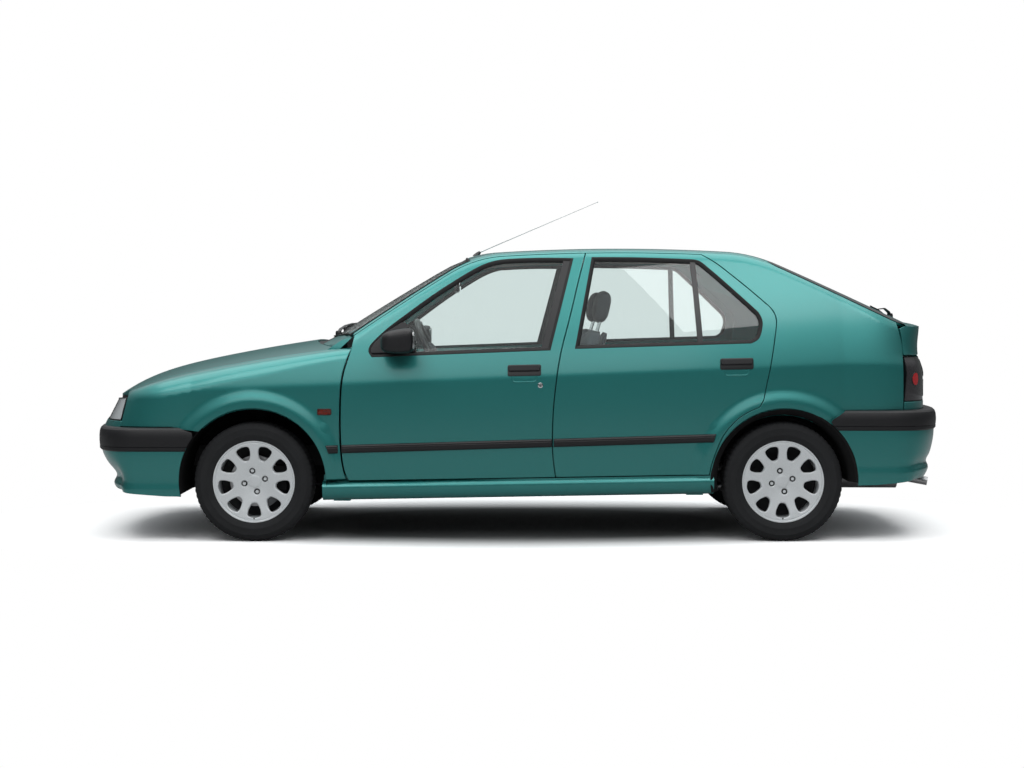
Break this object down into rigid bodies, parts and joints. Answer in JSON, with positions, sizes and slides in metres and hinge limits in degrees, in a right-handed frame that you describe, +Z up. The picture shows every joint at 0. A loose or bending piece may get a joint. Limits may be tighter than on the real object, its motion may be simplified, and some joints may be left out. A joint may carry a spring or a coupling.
{
  "type": "compact hatchback car",
  "caption": "Compact hatchback car with opening doors, tailgate and bonnet, steered front wheels and a furnished cabin.",
  "frame": {"origin": "on the ground, on the centre plane, at mid-length, which is midway between the axles", "axes": "+X forward, +Y to the car's left, +Z up"},
  "size_m": [4.1563, 2.034, 1.6743],
  "materials": {
    "paint": "metallic gloss",
    "chassis": "satin",
    "black_plastic": "grained",
    "glass": "clear",
    "lamp_clear": "ribbed",
    "lamp_red": "smoked",
    "tyre": "matte",
    "alloy": "painted",
    "cloth": "woven"
  },
  "bodies": {
    "body": {"floor_left": "chassis", "floor_right": "chassis", "tunnel": "chassis", "heelboard": "chassis", "boot_floor": "chassis", "boot_wall": "chassis", "rear_arch_left": "chassis", "rear_arch_right": "chassis", "body_side_left": "paint", "body_side_right": "paint", "roof_panel": "paint", "bulkhead": "chassis", "front_wing_left": "paint", "front_wing_right": "paint", "front_panel": "chassis", "engine": "chassis", "front_bumper": "paint", "rear_bumper": "paint", "grille": "black_plastic", "headlamps": "lamp_clear", "tail_lamps": "lamp_red", "rear_panel": "paint", "windscreen": "glass", "front_suspension": "chassis", "rear_axle": "chassis", "exhaust": "chassis", "dashboard": "black_plastic", "front_seats": "cloth", "rear_seat": "cloth", "parcel_shelf": "black_plastic", "antenna": "black_plastic"},
    "front_left_steer": {"front_left_knuckle": "chassis"},
    "front_right_steer": {"front_right_knuckle": "chassis"},
    "front_left_roll": {"front_left_tyre": "tyre", "front_left_wheel": "alloy"},
    "front_right_roll": {"front_right_tyre": "tyre", "front_right_wheel": "alloy"},
    "rear_left_roll": {"rear_left_tyre": "tyre", "rear_left_wheel": "alloy"},
    "rear_right_roll": {"rear_right_tyre": "tyre", "rear_right_wheel": "alloy"},
    "hand_wheel": {"steering_wheel": "black_plastic"},
    "front_left_door_leaf": {"front_left_door": "paint", "front_left_window": "glass", "left_mirror": "black_plastic"},
    "front_right_door_leaf": {"front_right_door": "paint", "front_right_window": "glass", "right_mirror": "black_plastic"},
    "rear_left_door_leaf": {"rear_left_door": "paint", "rear_left_window": "glass"},
    "rear_right_door_leaf": {"rear_right_door": "paint", "rear_right_window": "glass"},
    "tailgate_lid": {"tailgate": "paint", "rear_window": "glass"},
    "bonnet_lid": {"bonnet": "paint"}
  },
  "joints": [
    {"name": "front_left_steering", "type": "hinge", "parent": "body", "child": "front_left_steer", "pos_m": [1.27, 0.66, 0.19], "axis": [-0.0362, -0.1973, 0.9797], "range_deg": [-34, 34]},
    {"name": "front_right_steering", "type": "hinge", "parent": "body", "child": "front_right_steer", "pos_m": [1.27, -0.66, 0.19], "axis": [-0.0362, 0.1973, 0.9797], "range_deg": [-34, 34]},
    {"name": "steering_wheel_turn", "type": "hinge", "parent": "body", "child": "hand_wheel", "pos_m": [0.432, 0.365, 0.89], "axis": [-0.9135, 0, 0.4067], "range_deg": [-580, 580]},
    {"name": "front_left_wheel_spin", "type": "hinge", "parent": "front_left_steer", "child": "front_left_roll", "pos_m": [1.27, 0.715, 0.287], "axis": [0, 1, 0], "continuous": true},
    {"name": "front_right_wheel_spin", "type": "hinge", "parent": "front_right_steer", "child": "front_right_roll", "pos_m": [1.27, -0.715, 0.287], "axis": [0, 1, 0], "continuous": true},
    {"name": "rear_left_wheel_spin", "type": "hinge", "parent": "body", "child": "rear_left_roll", "pos_m": [-1.27, 0.715, 0.287], "axis": [0, 1, 0], "continuous": true},
    {"name": "rear_right_wheel_spin", "type": "hinge", "parent": "body", "child": "rear_right_roll", "pos_m": [-1.27, -0.715, 0.287], "axis": [0, 1, 0], "continuous": true},
    {"name": "front_left_door_hinge", "type": "hinge", "parent": "body", "child": "front_left_door_leaf", "pos_m": [0.808, 0.8245, 0.6], "axis": [0, 0, -1], "range_deg": [0, 66]},
    {"name": "front_right_door_hinge", "type": "hinge", "parent": "body", "child": "front_right_door_leaf", "pos_m": [0.808, -0.8245, 0.6], "axis": [0, 0, 1], "range_deg": [0, 66]},
    {"name": "rear_left_door_hinge", "type": "hinge", "parent": "body", "child": "rear_left_door_leaf", "pos_m": [-0.2205, 0.82, 0.6], "axis": [0, 0, -1], "range_deg": [0, 66]},
    {"name": "rear_right_door_hinge", "type": "hinge", "parent": "body", "child": "rear_right_door_leaf", "pos_m": [-0.2205, -0.82, 0.6], "axis": [0, 0, 1], "range_deg": [0, 66]},
    {"name": "tailgate_hinge", "type": "hinge", "parent": "body", "child": "tailgate_lid", "pos_m": [-1.2, 0, 1.385], "axis": [0, 1, 0], "range_deg": [0, 78]},
    {"name": "bonnet_hinge", "type": "hinge", "parent": "body", "child": "bonnet_lid", "pos_m": [0.87, 0, 0.915], "axis": [0, -1, 0], "range_deg": [0, 55]}
  ],
  "couplings": [
    {"joint": "front_right_steering", "follows": "front_left_steering", "ratio": 1},
    {"joint": "steering_wheel_turn", "follows": "front_left_steering", "ratio": 17}
  ]
}
